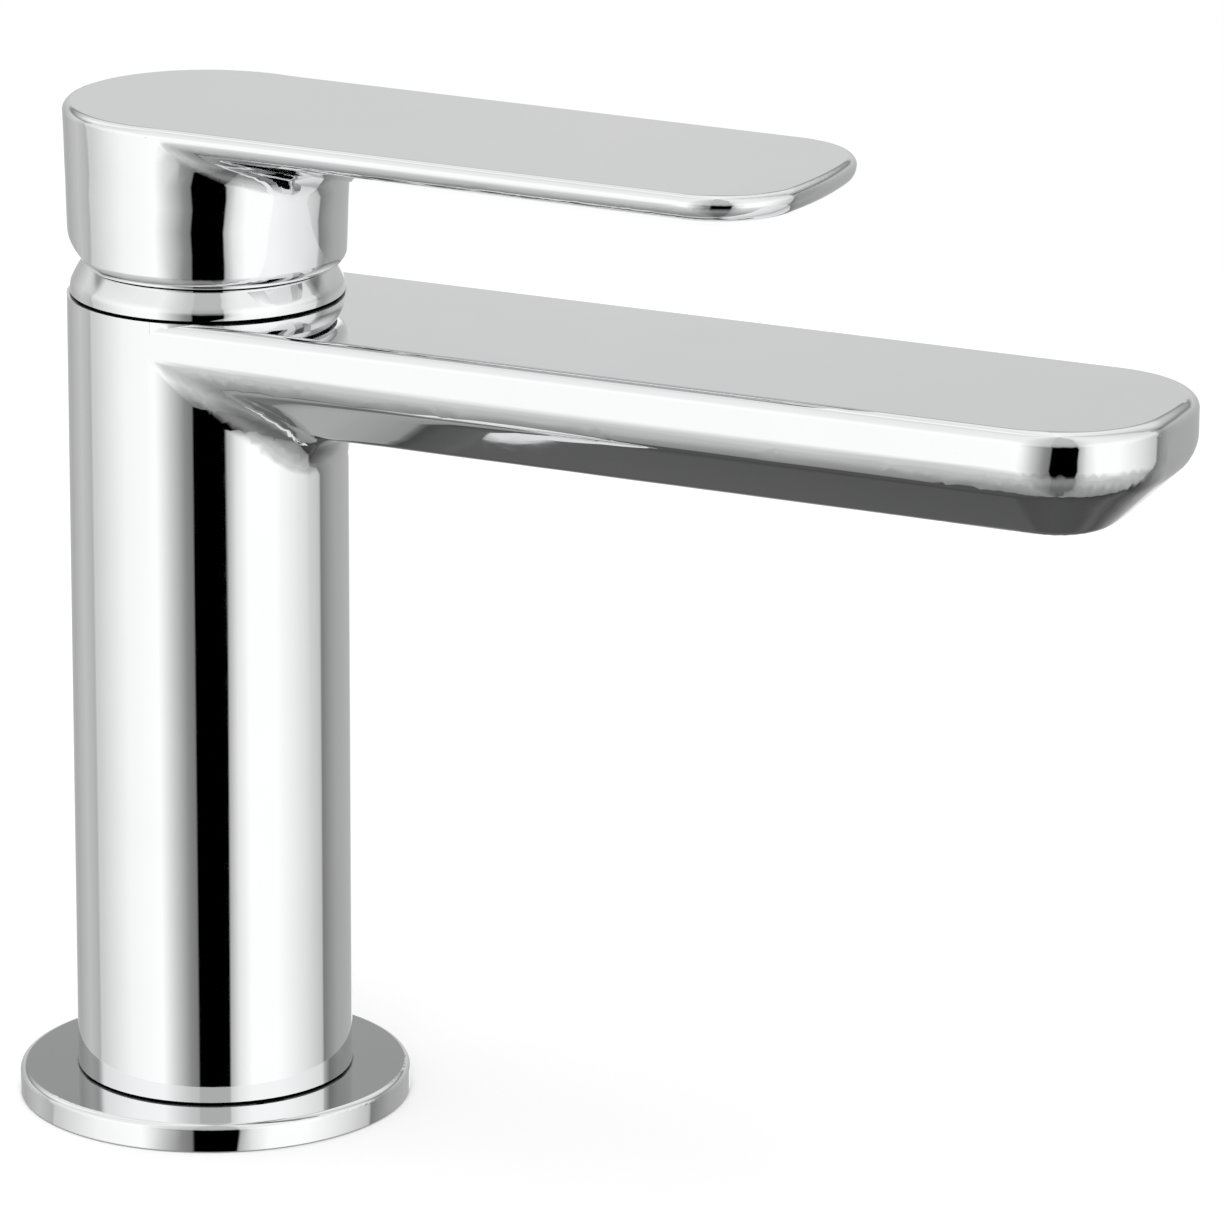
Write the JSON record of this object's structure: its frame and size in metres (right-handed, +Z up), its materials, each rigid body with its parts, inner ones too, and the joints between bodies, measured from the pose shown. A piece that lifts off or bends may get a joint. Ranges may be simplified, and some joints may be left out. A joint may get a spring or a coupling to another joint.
{
  "type": "basin mixer tap",
  "caption": "Lever basin mixer tap: round column on a flange, flat level spout with aerator, domed collar and a flat lever that swings and lifts to work a disc cartridge.",
  "frame": {"origin": "on the deck, at the centre of the foot, on the axis of the column", "axes": "+X along the spout, +Y to the left of someone standing behind the tap and looking along the spout, +Z up"},
  "size_m": [0.1683, 0.054, 0.14],
  "materials": {
    "chrome_body": "polished",
    "chrome_flange": "polished",
    "chrome_collar": "polished",
    "chrome_lever": "polished",
    "rubber": "matt",
    "brass": "machined",
    "steel": "machined",
    "ceramic": "lapped",
    "white_plastic": "moulded",
    "red_plastic": "moulded",
    "aerator_plastic": "moulded",
    "grid_plastic": "moulded",
    "plug_plastic": "moulded"
  },
  "bodies": {
    "body": {"body_casting": "chrome_body", "base_flange": "chrome_flange", "deck_gasket": "rubber", "flange_o_ring": "rubber", "inlet_manifold": "brass", "hot_riser": "brass", "cold_riser": "brass", "riser_seals": "rubber", "cartridge_base": "white_plastic", "inlet_seals": "rubber", "cartridge_housing": "white_plastic", "housing_o_ring": "rubber", "fixed_disc": "ceramic", "retaining_nut": "brass", "limit_ring": "red_plastic", "collar": "chrome_collar", "collar_o_ring": "rubber", "aerator_housing": "aerator_plastic", "aerator_grid": "grid_plastic", "aerator_screen": "steel", "aerator_washer": "rubber"},
    "turret": {"rotor": "white_plastic", "pivot_pin": "steel"},
    "lever": {"spindle": "brass", "lever_handle": "chrome_lever", "set_screw": "steel", "index_plug": "plug_plastic"},
    "slide": {"disc_carrier": "white_plastic", "moving_disc": "ceramic"}
  },
  "joints": [
    {"name": "handle_swing", "type": "hinge", "parent": "body", "child": "turret", "pos_m": [0, 0, 0.107], "axis": [0, 0, 1], "range_deg": [-45, 45]},
    {"name": "handle_lift", "type": "hinge", "parent": "turret", "child": "lever", "pos_m": [0, 0, 0.107], "axis": [0, -1, 0], "range_deg": [0, 20]},
    {"name": "disc_slide", "type": "slide", "parent": "turret", "child": "slide", "axis": [1, 0, 0], "range_m": [0, 0.0035]}
  ],
  "couplings": [
    {"joint": "disc_slide", "follows": "handle_lift", "m_per_rad": 0.01}
  ]
}
